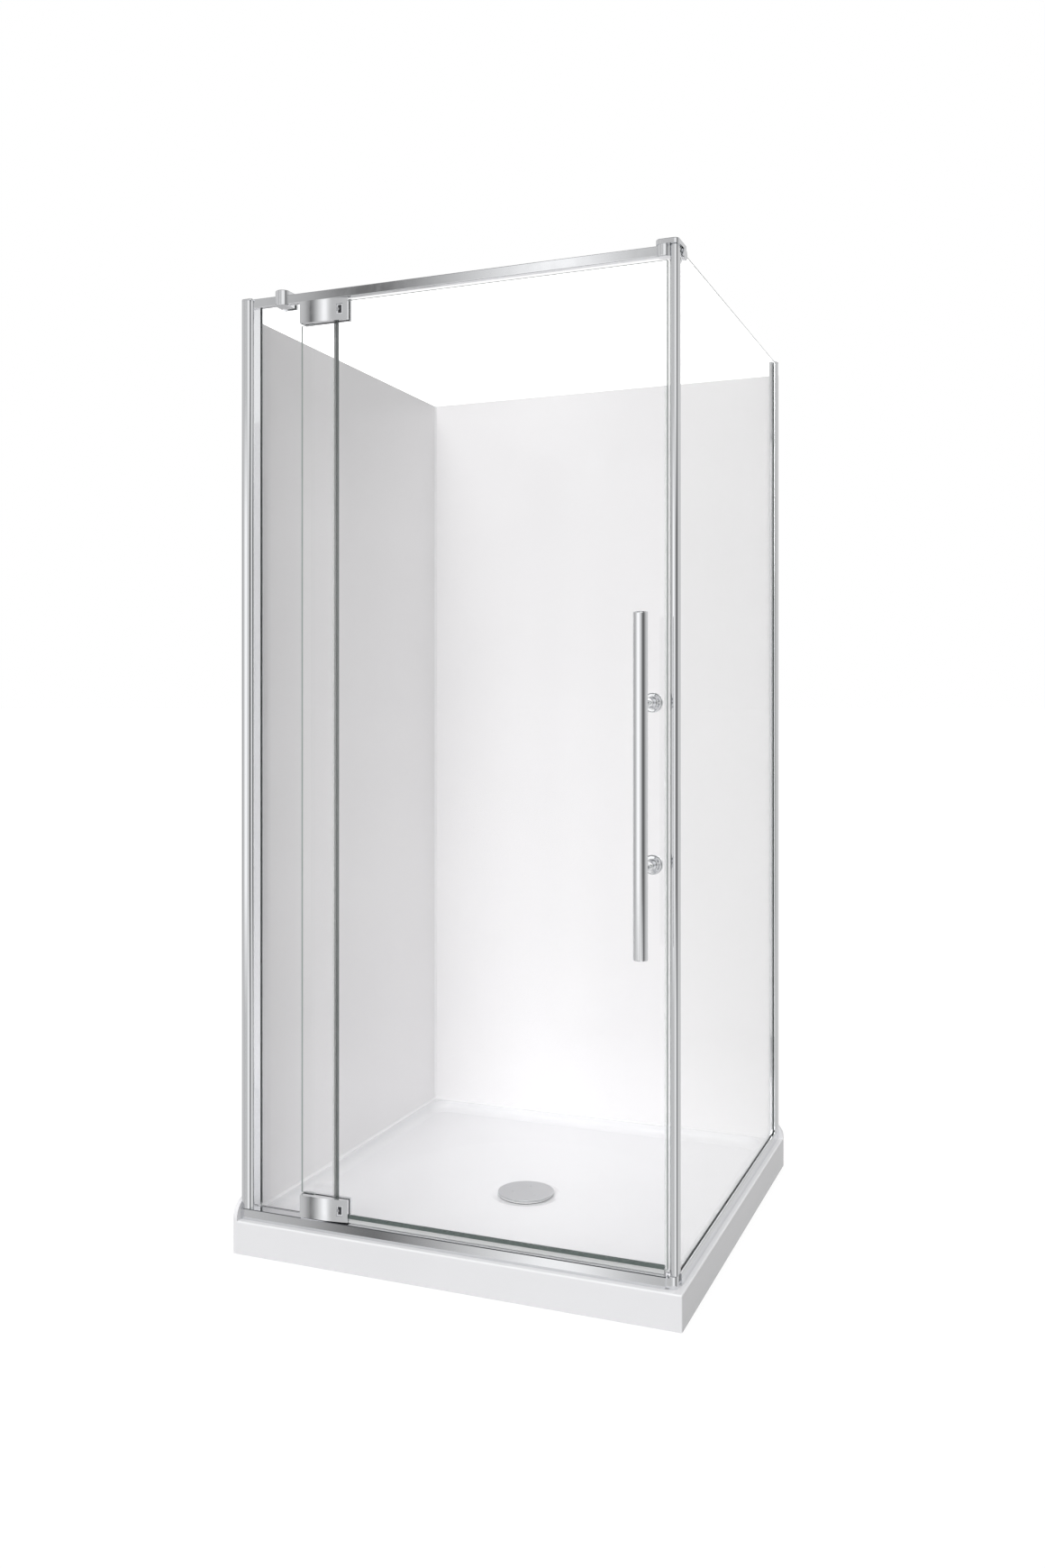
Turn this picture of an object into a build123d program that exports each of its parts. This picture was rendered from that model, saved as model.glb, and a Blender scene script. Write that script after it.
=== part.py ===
"""Pivot door shower enclosure: tray, wall liners, two fixed panes and a pivot door.

Millimetres. X runs along the front from the left wall, Y from the front to the
back wall and Z up. The origin lies on the waste's axis at floor level.
"""
import os
from build123d import *

os.makedirs("parts", exist_ok=True)

# Clearances
face_gap = 0.3         # between a moving piece and a fixed one that face each other
pin_clearance = 0.05   # radial, pivot pin in its bush
glass_play = 0.2       # glass edge to the metal round it
bead = 4.0             # sealant fillet
soft_edge = 1.0        # rounding of small metal edges
thread_play = 0.3      # round the drain's thread

# Tray
tray_width = 900.0
tray_depth = 900.0
ledge_z = 64.0         # top of the apron and of the ledge round the bowl
upstand_rise = 38.0    # above the ledge
upstand_thick = 8.0
upstand_nose = 34.0    # radius at the free end of each upstand
shell = 5.0            # acrylic and its reinforcement
apron_edge = 3.0       # radius along the apron's top edge
tray_corner = 3.0
ledge_front = 66.0     # apron face to the bowl
ledge_right = 50.0
ledge_wall = 20.0      # tray side to the bowl on the two wall sides
bowl_corner = 45.0
bowl_draft = 12.0      # degrees
bowl_cove = 18.0       # radius between the bowl's wall and its floor
bowl_depth = 22.0      # ledge to the bowl's floor
floor_fall = 4.0       # the floor drops this much to the waste
dish_margin = 22.0     # the floor's fall starts this far inside the bowl's front edge
foam_gap = 0.5

# Waste
recess_r = 73.0
recess_floor_r = 62.0
recess_depth = 2.0
waste_boss_r = 76.0
waste_boss_drop = 3.0
waste_hole_r = 45.0
waste_flange_r = 56.0
waste_flange_thick = 2.5
waste_tube_r = 43.0
waste_wall = 3.0
washer_thick = 1.5
washer_inset = 1.0      # the washer stops this far inside the flange's edge
nut_r = 53.0
nut_height = 9.0
nut_sides = 8
waste_base_z = 12.0
outlet_r = 25.0
outlet_wall = 3.0
outlet_end_z = 0.5
foam_pocket_r = 60.0
cover_r = 59.0
cover_thick = 2.5
cover_edge = 1.2
cover_gap = 2.0        # slot for water under the cover's rim
dimple_circle_r = 28.0
dimple_r = 2.2
dimple_deep = 0.7
leg_count = 3
leg_r = 3.0
leg_inset = 1.0         # from the cup's rim
cup_r = 38.5
cup_wall = 1.8
cup_rim_r = 44.5
cup_rim_thick = 1.4
cup_base_z = 17.0
cup_slot = (2.0, 12.0)  # width and height
cup_slots = 12
cup_slot_rise = 1.0     # the slots start this far above the cup's base
cup_play = 0.5          # round the cup's rim

# Wall liners
liner_thick = 4.0
liner_top = 1834.0
liner_joint = 0.4

# Glass
glass_thick = 8.0
glass_top = 1863.0      # fixed panes
glass_rise = 7.0        # lower edge of the return glass, above the ledge
arris = 0.8             # ground edge
door_plane = 28.0       # middle of the door glass, from the apron's face
plane_gap = 23.0        # middle of the door glass to the middle of the infill glass
return_inset = 20.0     # middle of the return glass, from the tray's right side
door_overhang = 16.0    # door glass beyond the pivot
door_air = 7.0          # door glass to the sill and to the header bar
infill_lap = 49.0       # infill glass beyond the pivot, behind the door

# Sills and the post between them
sill_height = 21.0
sill_front = 15.0       # in front of the door glass's middle
sill_back = 10.0        # behind it
sill_wall = 2.0
sill_round = 2.5
side_sill_in = 13.0     # inside the return glass's middle
side_sill_out = 10.0    # outside it
glazing_slot = 11.0     # room for glass and its two gaskets
post_in = 3.0           # post's axis, inside the return glass's middle
post_front = 2.0        # post's axis, in front of the door glass's middle
post_r = 10.0
post_groove = 1.2       # the post's flat stands this far off the sill's end
post_rise = 1.0         # above the sills
post_tenon = 16.0       # length inside the front sill
post_key = 8.0          # half width of the key under the return glass

# Wall profiles
profile_front = 14.0    # in front of the door glass's middle
profile_back = 9.0      # behind the infill glass's middle
profile_wall = 2.0
profile_width = 18.0
profile_bow = 3.0       # the front wall swells this far in the middle
profile_round = 3.0
adjuster_start = 6.0    # from the profile's wall face
adjuster_width = 18.0
adjuster_play = 0.3
adjuster_round = 5.0    # front edge beside the profile
slot_floor = 6.0        # thickness behind the glazing slot
rear_channel_depth = 26.0
rear_glass_gap = 4.0    # return glass to the rear channel's base
cap_height = 3.0        # the caps fill the profiles up to the panes' top
cap_lap = 0.5            # the caps stand this proud of their profiles
fixing_heights = (300.0, 970.0, 1640.0)  # wall screws
fixing_hole_r = 2.5
joint_heights = (250.0, 920.0, 1590.0)   # screws that join the two front profiles
joint_screw_r = 1.8
joint_head_r = 3.6
joint_head = 1.8
joint_depth = 6.0       # thread in the adjuster

# Header bar
bar_height = 18.0       # its top is level with the panes
bar_thick = 12.0
bar_round = 1.2
bar_end_gap = 11.5      # bar's free end to the return edge profile
socket_drop = 15.0      # the wall socket reaches this far below the bar

# Saddle clamp on the infill glass
clamp_inset = 95.0      # clamp's middle, from the tray's left side
clamp_width = 30.0
clamp_cap = 9.0         # metal above the bar
clamp_lip = 2.0         # metal under the bar
clamp_overhang = 9.0    # metal in front of the bar
clamp_rear = 7.0        # metal behind the infill glass
clamp_round = 1.5
grub_r = 2.5
pad_thick = 1.2
pad_inset = 1.0         # pads stop this far inside the clamps' edges
grub_inset = 1.0        # grub screws sit this deep in their holes
grub_key_r = 1.4
grub_key_deep = 2.5

# Corner clamp on the return glass
corner_bite = 14.0      # length of bar inside the clamp
corner_boss_r = 11.5
corner_boss_inset = 1.0 # the plate stands this proud of the boss
corner_round = 9.0
corner_rear = 46.0      # behind the door glass's middle
corner_out = 10.0       # outside the return glass's middle
corner_in = 12.0        # inside it
lobe_r = 12.0
lobe_back = 33.0        # lobe's middle, behind the door glass's middle
lobe_drop = 15.0        # clamp's top to the middle of the lobe's round end
lobe_neck = 9.0         # half width of the lobe under the plate

# Hinge blocks
pivot_inset = 154.0     # pivot's axis, from the tray's left side
hinge_overhang = 12.0   # block beyond the pivot
hinge_width = 100.0
hinge_height = 42.0
hinge_front = 17.0      # foremost line of the bowed face, in front of the door glass's middle
hinge_bow = 6.0         # the face's ends lie this far behind that line
hinge_tail = 22.0       # full-depth metal round the pivot
hinge_back = 12.0       # behind the door glass's middle
hinge_air = 2.0         # block to bar, and block to sill
hinge_seam = 0.2        # block's tail to the back plate
hinge_corner = 2.0      # radius of the back plate's free corner
hinge_pad = 0.5
notch_clearance = 1.5
hinge_screw_spacing = 36.0
hinge_screw_inset = 22.0
hinge_screw_r = 3.0
screw_play = 0.1
screw_bite = 0.5        # the screws stop this short of the block's end face
head_r = 5.4
head_height = 3.0
head_sunk = 0.3
drive_r = 2.3
drive_deep = 2.0
hinge_hole_r = 7.0
window_size = (12.0, 20.0)
window_inset = 10.0
insert_sunk = 3.5       # face of the adjuster in the window, behind the foremost line
insert_thick = 3.0
insert_play = 0.15
slit_width = 2.0
slit_inset = 3.0
slit_deep = 1.5
shank_r = 4.0
journal_r = 3.0
journal_length = 10.0
bush_wall = 1.6
bush_length = 12.0
bush_floor = 3.0        # closed end of the lower bush
washer_r = 8.5

# Handle
handle_inset = 24.0     # handle's axis, from the door's free edge
handle_mid_z = 933.0
handle_length = 586.0
handle_r = 12.5
handle_wall = 1.5
handle_reach = 79.5     # glass face to the tube's axis
handle_cap = 2.5
cap_plug = 8.0          # the caps reach this far into the tube
post_spacing = 280.0
stem_r = 9.0
rose_r = 17.5
rose_thick = 10.0
rose_edge = 2.0
button_r = 14.0
button_thick = 6.0
button_round = 1.5
spigot_r = 5.0
handle_hole_r = 6.0
handle_washer = 1.0
handle_washer_r = 13.0

# Seals
seal_wall = 1.5
edge_reach = 6.0        # door edge seal beyond the glass
magnet_gap = 0.5        # closed door's seal to the return edge profile
seal_web = 3.0          # bottom seal under the glass
edge_profile_width = 13.0
edge_profile_depth = 22.0
edge_bow = 3.5              # its front swells this far in the middle
edge_profile_front = 9.0    # in front of the door glass's middle
edge_profile_bite = 4.5     # length of return glass inside the profile
bottom_seal_air = 0.8
seal_lap = 7.0          # how far a seal reaches over the glass
edge_lap = 5.0          # the same on the door's free edge, clear of the handle's roses
magnet_half = 4.0
magnet_depth = 2.0
fin_thick = 1.0
infill_seal_air = 0.6
fin_relief = 3.0        # fin and seal stop this far from the hinge blocks and the bar
shoe_height = 16.0
shoe_base = 4.0         # shoe's metal under the infill glass

# Places worked out from the sizes above. The front and back overhang alike.
glass_front = door_plane - glass_thick / 2
handle_overhang = handle_reach + handle_r - glass_front
left = -tray_width / 2
front = -(tray_depth - handle_overhang) / 2
right = left + tray_width
back = front + tray_depth
wall_x = left + upstand_thick              # inner face of the left upstand
wall_y = back - upstand_thick
liner_x = wall_x + liner_thick
liner_y = wall_y - liner_thick
upstand_top = ledge_z + upstand_rise
floor_z = ledge_z - bowl_depth
waste_z = floor_z - floor_fall
seat_z = waste_z - recess_depth
boss_z = seat_z - shell
under_z = boss_z + waste_boss_drop         # underside of the shell below the bowl
door_y = front + door_plane
infill_y = door_y + plane_gap
return_x = right - return_inset
half_glass = glass_thick / 2
glass_foot = ledge_z + glass_rise
sill_top = ledge_z + sill_height
post_top = sill_top + post_rise
sill_y0 = door_y - sill_front
sill_y1 = door_y + sill_back
side_x0 = return_x - side_sill_in          # the front sill ends where the side sill starts
side_x1 = return_x + side_sill_out
post_x = return_x - post_in
post_y = door_y - post_front
profile_y0 = door_y - profile_front
profile_y1 = infill_y + profile_back
profile_top = glass_top - cap_height
adjuster_x0 = wall_x + adjuster_start
adjuster_x = adjuster_x0 + adjuster_width
bar_top = glass_top
bar_bottom = bar_top - bar_height
bar_front = door_y - bar_thick / 2
bar_back = door_y + bar_thick / 2
edge_x0 = return_x - edge_profile_width / 2
edge_x1 = return_x + edge_profile_width / 2
edge_y0 = door_y - edge_profile_front
edge_y1 = edge_y0 + edge_profile_depth
glass_front_y = edge_y1 - edge_profile_bite     # front edge of the return glass
bar_end = edge_x0 - bar_end_gap
corner_grub_z = bar_bottom + bar_height / 2
clamp_x = left + clamp_inset
clamp_top = bar_top + clamp_cap
pivot = (left + pivot_inset, door_y)
door_x0 = pivot[0] - door_overhang
door_x1 = edge_x0 - magnet_gap - edge_reach
door_foot = sill_top + door_air
door_top = bar_bottom - door_air


def box(x_low, x_high, y_low, y_high, z_low, z_high, mode=Mode.ADD):
    """A block between six planes, added to the part that is being built."""
    with BuildSketch(Plane.XY.offset(z_low), mode=Mode.PRIVATE) as outline:
        with Locations(((x_low + x_high) / 2, (y_low + y_high) / 2)):
            Rectangle(x_high - x_low, y_high - y_low)
    return extrude(outline.sketch, amount=z_high - z_low, mode=mode)


def rod(x, y, z_low, z_high, radius, mode=Mode.ADD):
    """An upright cylinder, added to the part that is being built."""
    with BuildSketch(Plane.XY.offset(z_low), mode=Mode.PRIVATE) as outline:
        with Locations((x, y)):
            Circle(radius)
    return extrude(outline.sketch, amount=z_high - z_low, mode=mode)


def cross_rod(x, z, y_low, y_high, radius, mode=Mode.ADD):
    """A cylinder that runs along Y, added to the part that is being built."""
    with BuildSketch(Plane.XZ.offset(-y_low), mode=Mode.PRIVATE) as outline:
        with Locations((x, z)):
            Circle(radius)
    return extrude(outline.sketch, amount=-(y_high - y_low), mode=mode)


def side_rod(y, z, x_low, x_high, radius, mode=Mode.ADD):
    """A cylinder that runs along X, added to the part that is being built."""
    with BuildSketch(Plane.YZ.offset(x_low), mode=Mode.PRIVATE) as outline:
        with Locations((y, z)):
            Circle(radius)
    return extrude(outline.sketch, amount=x_high - x_low, mode=mode)


def bowed(x_low, x_high, y_front, y_back, bow):
    """Outline of a bar whose front swells forward in an arc."""
    with BuildSketch(mode=Mode.PRIVATE) as outline:
        with BuildLine():
            Line((x_low, y_back), (x_low, y_front + bow))
            ThreePointArc((x_low, y_front + bow), ((x_low + x_high) / 2, y_front), (x_high, y_front + bow))
            Line((x_high, y_front + bow), (x_high, y_back))
            Line((x_high, y_back), (x_low, y_back))
        make_face()
    return outline.sketch


def keep(piece, label):
    """Names a finished piece and writes it."""
    piece.part.label = label
    export_step(piece.part, f"parts/{label}.step")


# Tray shell
bowl_low_x = left + ledge_wall
bowl_high_x = right - ledge_right
bowl_low_y = front + ledge_front
bowl_high_y = back - ledge_wall
bowl_mid = ((bowl_low_x + bowl_high_x) / 2, (bowl_low_y + bowl_high_y) / 2)
dish_r = -bowl_low_y - dish_margin
bowl_size = (bowl_high_x - bowl_low_x, bowl_high_y - bowl_low_y)


def bowl(margin, z_top, z_low, mode):
    """The bowl's space, wider all round by the margin, with its walls' draft."""
    with BuildSketch(Plane.XY.offset(z_top), mode=Mode.PRIVATE) as outline:
        with Locations(bowl_mid):
            RectangleRounded(bowl_size[0] + 2 * margin, bowl_size[1] + 2 * margin, bowl_corner + margin)
    return extrude(outline.sketch, amount=-(z_top - z_low), taper=bowl_draft, mode=mode)


with BuildPart() as shower_tray:
    box(left, right, front, back, 0, upstand_top)
    box(wall_x, right, front, wall_y, ledge_z, upstand_top, mode=Mode.SUBTRACT)
    top_edges = shower_tray.edges().filter_by_position(Axis.Z, upstand_top, upstand_top)
    fillet(top_edges.filter_by(Axis.X).sort_by(Axis.Y)[0], upstand_nose)
    top_edges = shower_tray.edges().filter_by_position(Axis.Z, upstand_top, upstand_top)
    fillet(top_edges.filter_by(Axis.Y).sort_by(Axis.X)[-1], upstand_nose)
    upright_edges = shower_tray.edges().filter_by(Axis.Z)
    fillet(upright_edges.filter_by_position(Axis.X, right, right).sort_by(Axis.Y)[0], tray_corner)
    rim_edges = shower_tray.edges().filter_by_position(Axis.Z, ledge_z, ledge_z)
    fillet(rim_edges.filter_by_position(Axis.Y, front, front), apron_edge)
    bowl(0, ledge_z, floor_z, Mode.SUBTRACT)
    floor_edges = shower_tray.faces().filter_by(Plane.XY).filter_by_position(Axis.Z, floor_z, floor_z).edges()
    fillet(floor_edges, bowl_cove)
    with BuildSketch(Plane.XZ) as dish:
        with BuildLine():
            Polyline((0, floor_z + 1), (dish_r, floor_z + 1), (dish_r, floor_z), (recess_r, waste_z),
                     (recess_floor_r, seat_z), (0, seat_z), close=True)
        make_face()
    revolve(dish.sketch, Axis.Z, mode=Mode.SUBTRACT)
    box(left + shell, right - shell, front + shell, back - shell, 0, under_z, mode=Mode.SUBTRACT)
    with BuildPart(mode=Mode.PRIVATE) as rim_space:
        box(left + shell, right - shell, front + shell, back - shell, under_z, ledge_z - shell)
        bowl(shell, ledge_z, under_z, Mode.SUBTRACT)
    add(rim_space.part, mode=Mode.SUBTRACT)
    rod(0, 0, boss_z, under_z, waste_boss_r)
    rod(0, 0, boss_z, floor_z, waste_hole_r, mode=Mode.SUBTRACT)
keep(shower_tray, "shower_tray")

with BuildPart() as tray_foam_base:
    inset = shell + foam_gap
    box(left + inset, right - inset, front + inset, back - inset, 0, ledge_z - shell - foam_gap)
    bowl(shell + foam_gap, ledge_z, under_z - foam_gap, Mode.SUBTRACT)
    rod(0, 0, boss_z - foam_gap, under_z, waste_boss_r + foam_gap, mode=Mode.SUBTRACT)
    rod(0, 0, 0, under_z, foam_pocket_r, mode=Mode.SUBTRACT)
keep(tray_foam_base, "tray_foam_base")

# Waste, from the drain body up to the lift-off cover
flange_low = seat_z + washer_thick
flange_top = flange_low + waste_flange_thick
with BuildPart() as waste_body:
    rod(0, 0, flange_low, flange_top, waste_flange_r)
    fillet(waste_body.edges().filter_by(GeomType.CIRCLE).group_by(Axis.Z)[-1], soft_edge)
    rod(0, 0, waste_base_z, flange_low, waste_tube_r)
    rod(0, 0, outlet_end_z, waste_base_z, outlet_r)
    rod(0, 0, waste_base_z + waste_wall, flange_top, waste_tube_r - waste_wall, mode=Mode.SUBTRACT)
    rod(0, 0, outlet_end_z, flange_top, outlet_r - outlet_wall, mode=Mode.SUBTRACT)
    rod(0, 0, flange_top - cup_rim_thick - face_gap, flange_top, cup_rim_r + cup_play, mode=Mode.SUBTRACT)
keep(waste_body, "waste_body")

with BuildPart() as waste_washer:
    rod(0, 0, seat_z, flange_low, waste_flange_r - washer_inset)
    rod(0, 0, seat_z, flange_low, waste_tube_r + thread_play, mode=Mode.SUBTRACT)
keep(waste_washer, "waste_seal_washer")

with BuildPart() as waste_nut:
    with BuildSketch(Plane.XY.offset(boss_z - nut_height)):
        RegularPolygon(nut_r, nut_sides)
        Circle(waste_tube_r + thread_play, mode=Mode.SUBTRACT)
    extrude(amount=nut_height)
keep(waste_nut, "waste_lock_nut")

cup_top = flange_top
with BuildPart() as hair_cup:
    rod(0, 0, cup_top - cup_rim_thick, cup_top, cup_rim_r)
    rod(0, 0, cup_base_z, cup_top - cup_rim_thick, cup_r)
    rod(0, 0, cup_base_z + cup_wall, cup_top, cup_r - cup_wall, mode=Mode.SUBTRACT)
    slot_z = cup_base_z + cup_wall + cup_slot_rise
    with BuildSketch(Plane.XY.offset(slot_z)) as slots:
        with PolarLocations(cup_r - cup_wall / 2, cup_slots):
            Rectangle(2 * cup_wall, cup_slot[0])
    extrude(slots.sketch, amount=cup_slot[1], mode=Mode.SUBTRACT)
keep(hair_cup, "waste_hair_cup")

cover_low = cup_top + cover_gap
with BuildPart() as waste_cover:
    rod(0, 0, cover_low, cover_low + cover_thick, cover_r)
    fillet(waste_cover.edges().filter_by(GeomType.CIRCLE).group_by(Axis.Z)[-1], cover_edge)
    with BuildSketch(Plane.XY.offset(cup_top)) as legs:
        with PolarLocations(cup_rim_r - leg_r - leg_inset, leg_count, start_angle=90):
            Circle(leg_r)
    extrude(legs.sketch, amount=cover_gap)
    with BuildSketch(Plane.XY.offset(cover_low + cover_thick - dimple_deep)) as dimples:
        with PolarLocations(dimple_circle_r, leg_count, start_angle=90):
            Circle(dimple_r)
    extrude(dimples.sketch, amount=dimple_deep, mode=Mode.SUBTRACT)
keep(waste_cover, "waste_cover")

# Wall liners and their sealant
with BuildPart() as left_panel:
    box(wall_x, liner_x, profile_y1 + liner_joint, liner_y - liner_joint, ledge_z, liner_top)
keep(left_panel, "left_wall_panel")

with BuildPart() as back_panel:
    box(wall_x, side_x1, liner_y, wall_y, ledge_z, liner_top)
    for hole_z in fixing_heights:
        cross_rod(return_x, hole_z, liner_y, wall_y, fixing_hole_r, mode=Mode.SUBTRACT)
keep(back_panel, "back_wall_panel")

with BuildPart() as sealant:
    with BuildSketch(Plane.XZ.offset(-(profile_y1 + liner_joint))) as left_bead:
        with BuildLine():
            Polyline((liner_x, ledge_z), (liner_x + bead, ledge_z), (liner_x, ledge_z + bead), close=True)
        make_face()
    extrude(left_bead.sketch, amount=-(liner_y - profile_y1 - liner_joint))
    with BuildSketch(Plane.YZ.offset(liner_x)) as back_bead:
        with BuildLine():
            Polyline((liner_y, ledge_z), (liner_y - bead, ledge_z), (liner_y, ledge_z + bead), close=True)
        make_face()
    extrude(back_bead.sketch, amount=side_x0 - liner_x)
    with BuildSketch(Plane.XY.offset(ledge_z)) as corner_bead:
        with BuildLine():
            Polyline((liner_x, liner_y), (liner_x + bead, liner_y), (liner_x, liner_y - bead), close=True)
        make_face()
    extrude(corner_bead.sketch, amount=liner_top - ledge_z)
keep(sealant, "panel_sealant")

# Front sill with the seat of the lower pivot, side sill and corner post
bush_r = journal_r + pin_clearance + bush_wall
with BuildPart() as front_sill:
    box(wall_x, side_x0, sill_y0, sill_y1, ledge_z, sill_top)
    fillet(front_sill.edges().filter_by(Axis.X).group_by(Axis.Z)[-1], sill_round)
    box(wall_x, side_x0, sill_y0 + sill_wall, sill_y1 - sill_wall,
        ledge_z + sill_wall, sill_top - sill_wall, mode=Mode.SUBTRACT)
    rod(*pivot, sill_top - sill_wall, sill_top, bush_r, mode=Mode.SUBTRACT)
keep(front_sill, "front_sill")

slot_low = return_x - glazing_slot / 2
slot_high = return_x + glazing_slot / 2
with BuildPart() as side_sill:
    box(side_x0, side_x1, sill_y1, liner_y, ledge_z, sill_top)
    fillet(side_sill.edges().filter_by(Axis.Y).group_by(Axis.Z)[-1], sill_round)
    box(slot_low, slot_high, sill_y1, liner_y, glass_foot - glass_play, sill_top, mode=Mode.SUBTRACT)
keep(side_sill, "side_sill")

with BuildPart() as corner_post:
    rod(post_x, post_y, ledge_z, post_top, post_r)
    fillet(corner_post.edges().filter_by(GeomType.CIRCLE).group_by(Axis.Z)[-1], soft_edge)
    box(side_x0 - post_r, side_x0 + post_groove, sill_y0 - post_r, sill_y1 + post_r, ledge_z, post_top,
        mode=Mode.SUBTRACT)
    tenon_gap = sill_wall + face_gap
    box(side_x0 - post_tenon, post_x, sill_y0 + tenon_gap, sill_y1 - tenon_gap,
        ledge_z + tenon_gap, sill_top - tenon_gap)
    box(post_x - post_key, post_x + post_key, post_y, sill_y1, ledge_z, glass_foot - glass_play)
keep(corner_post, "corner_post")

# Front wall profile, the adjuster that slides in it, and their cap
fixing_y = (profile_y0 + profile_y1) / 2
joint_x = adjuster_x0 + slot_floor / 2
with BuildPart() as wall_profile:
    profile_x1 = wall_x + profile_width
    with BuildSketch(Plane.XY.offset(sill_top)):
        add(bowed(wall_x, profile_x1, profile_y0, profile_y1, profile_bow))
        with Locations((profile_wall, 0)):
            add(bowed(wall_x, profile_x1, profile_y0 + profile_wall, profile_y1 - profile_wall, profile_bow),
                mode=Mode.SUBTRACT)
    extrude(amount=profile_top - sill_top)
    for hole_z in fixing_heights:
        side_rod(fixing_y, hole_z, wall_x, wall_x + profile_wall, fixing_hole_r, mode=Mode.SUBTRACT)
    for hole_z in joint_heights:
        cross_rod(joint_x, hole_z, profile_y1 - profile_wall, profile_y1, joint_screw_r, mode=Mode.SUBTRACT)
keep(wall_profile, "front_wall_profile")

adjuster_y0 = profile_y0 + profile_bow + profile_wall + adjuster_play
adjuster_y1 = profile_y1 - profile_wall - adjuster_play
infill_slot_y0 = infill_y - glazing_slot / 2
infill_slot_y1 = infill_y + glazing_slot / 2
chamber_y1 = infill_slot_y0 - profile_wall
with BuildPart() as adjuster:
    box(adjuster_x0, adjuster_x, adjuster_y0, adjuster_y1, sill_top, profile_top)
    free_edges = adjuster.edges().filter_by(Axis.Z).group_by(Axis.X)[-1]
    fillet(free_edges.sort_by(Axis.Y)[0], adjuster_round)
    box(adjuster_x0, adjuster_x - profile_wall, adjuster_y0 + profile_wall, chamber_y1,
        sill_top, profile_top, mode=Mode.SUBTRACT)
    box(adjuster_x0 + slot_floor, adjuster_x, infill_slot_y0, infill_slot_y1, sill_top, profile_top,
        mode=Mode.SUBTRACT)
    for hole_z in joint_heights:
        cross_rod(joint_x, hole_z, adjuster_y1 - joint_depth, adjuster_y1, joint_screw_r, mode=Mode.SUBTRACT)
keep(adjuster, "front_adjuster_profile")

with BuildPart() as front_cap:
    box(wall_x, adjuster_x, profile_y0 - cap_lap, infill_slot_y0 - face_gap, profile_top, glass_top)
    fillet(front_cap.edges().filter_by(Axis.Z).group_by(Axis.Y)[0], adjuster_round)
    fillet(front_cap.edges().group_by(Axis.Z)[-1], soft_edge)
keep(front_cap, "front_profile_cap")

# Rear channel and its cap
rear_y0 = liner_y - rear_channel_depth
with BuildPart() as rear_channel:
    box(side_x0, side_x1, rear_y0, liner_y, sill_top, profile_top)
    fillet(rear_channel.edges().filter_by(Axis.Z).sort_by(Axis.Y)[:2], profile_round)
    box(slot_low, slot_high, rear_y0, liner_y - profile_wall, sill_top, profile_top, mode=Mode.SUBTRACT)
    for hole_z in fixing_heights:
        cross_rod(return_x, hole_z, liner_y - profile_wall, liner_y, fixing_hole_r, mode=Mode.SUBTRACT)
keep(rear_channel, "rear_wall_channel")

glass_rear = liner_y - profile_wall - rear_glass_gap
with BuildPart() as rear_cap:
    box(side_x0 - cap_lap, side_x1 + cap_lap, glass_rear + glass_play, liner_y, profile_top, glass_top)
    fillet(rear_cap.edges().group_by(Axis.Z)[-1], soft_edge)
keep(rear_cap, "rear_channel_cap")

# Fixed panes with their gaskets and shoe
infill_x0 = adjuster_x0 + slot_floor + glass_play
infill_x1 = pivot[0] + infill_lap
infill_foot = ledge_z + shoe_base
with BuildPart() as infill_glass:
    box(infill_x0, infill_x1, infill_y - half_glass, infill_y + half_glass, infill_foot, glass_top)
    box(infill_x0, adjuster_x + glass_play, infill_y - half_glass, infill_y + half_glass,
        infill_foot, sill_top, mode=Mode.SUBTRACT)
    chamfer(infill_glass.edges().filter_by(Axis.Z).group_by(Axis.X)[-1], arris)
keep(infill_glass, "infill_glass")

with BuildPart() as infill_gaskets:
    gasket_x0 = adjuster_x0 + slot_floor
    box(gasket_x0, adjuster_x, infill_slot_y0, infill_y - half_glass, sill_top, profile_top)
    box(gasket_x0, adjuster_x, infill_y + half_glass, infill_slot_y1, sill_top, profile_top)
keep(infill_gaskets, "infill_gaskets")

with BuildPart() as infill_shoe:
    shoe_half = half_glass + profile_wall
    box(adjuster_x + glass_play, infill_x1, infill_y - shoe_half, infill_y + shoe_half, ledge_z,
        ledge_z + shoe_height)
    box(adjuster_x + glass_play, infill_x1, infill_y - half_glass, infill_y + half_glass, infill_foot,
        ledge_z + shoe_height, mode=Mode.SUBTRACT)
keep(infill_shoe, "infill_shoe")

with BuildPart() as infill_edge_seal:
    seal_y0 = infill_y - half_glass - seal_wall
    seal_y1 = infill_y + half_glass + seal_wall
    seal_z0 = ledge_z + shoe_height + glass_play
    seal_z1 = bar_bottom - fin_relief
    fin_z0 = sill_top + hinge_air + hinge_height + fin_relief
    fin_z1 = bar_bottom - hinge_air - hinge_height - fin_relief
    box(infill_x1 - seal_lap, infill_x1 + seal_wall, seal_y0, seal_y1, seal_z0, seal_z1)
    box(infill_x1 - seal_lap, infill_x1, infill_y - half_glass, infill_y + half_glass, seal_z0, seal_z1,
        mode=Mode.SUBTRACT)
    box(infill_x1, infill_x1 + fin_thick, door_y + half_glass + infill_seal_air, seal_y0, fin_z0, fin_z1)
keep(infill_edge_seal, "infill_edge_seal")

with BuildPart() as return_glass:
    box(return_x - half_glass, return_x + half_glass, glass_front_y, glass_rear, glass_foot, glass_top)
    chamfer(return_glass.edges().filter_by(Axis.Y).group_by(Axis.Z)[-1], arris)
keep(return_glass, "return_glass")

with BuildPart() as return_gaskets:
    for low, high in ((slot_low, return_x - half_glass), (return_x + half_glass, slot_high)):
        box(low, high, edge_y1, rear_y0, glass_foot, sill_top)
        box(low, high, rear_y0, liner_y - profile_wall, glass_foot, profile_top)
keep(return_gaskets, "return_gaskets")

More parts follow.
